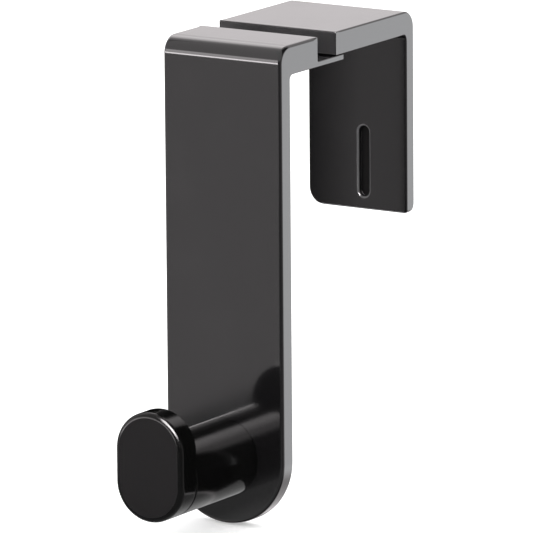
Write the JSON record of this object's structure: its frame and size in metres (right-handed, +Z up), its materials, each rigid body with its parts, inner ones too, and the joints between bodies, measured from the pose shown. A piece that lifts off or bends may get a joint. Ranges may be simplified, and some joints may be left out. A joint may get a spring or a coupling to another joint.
{
  "type": "panel hook",
  "caption": "Adjustable hook that hangs over the top edge of a panel, with a flat-faced peg for headphones, coats or bags.",
  "frame": {"origin": "middle of the flat seat that rests on the panel's top edge", "axes": "+X to the right seen from the peg's side, +Y to the panel's far side, +Z up"},
  "size_m": [0.039, 0.1117, 0.1387],
  "materials": {
    "black_moulding": "glossy moulded black",
    "cap_moulding": "glossy rim with a satin face",
    "zinc_steel": "bright zinc plate"
  },
  "bodies": {
    "front_assembly": {"front_bracket": "black_moulding", "peg_post": "black_moulding", "peg_cap": "cap_moulding", "peg_screw_upper": "zinc_steel", "peg_screw_lower": "zinc_steel", "peg_washer_upper": "zinc_steel", "peg_washer_lower": "zinc_steel"},
    "rear_assembly": {"rear_bracket": "black_moulding", "clamp_screw_left": "zinc_steel", "clamp_screw_right": "zinc_steel", "clamp_washer_left": "zinc_steel", "clamp_washer_right": "zinc_steel"}
  },
  "joints": [
    {"name": "panel_grip_slide", "type": "slide", "parent": "front_assembly", "child": "rear_assembly", "axis": [0, 1, 0], "range_m": [-0.009, 0.004]}
  ]
}
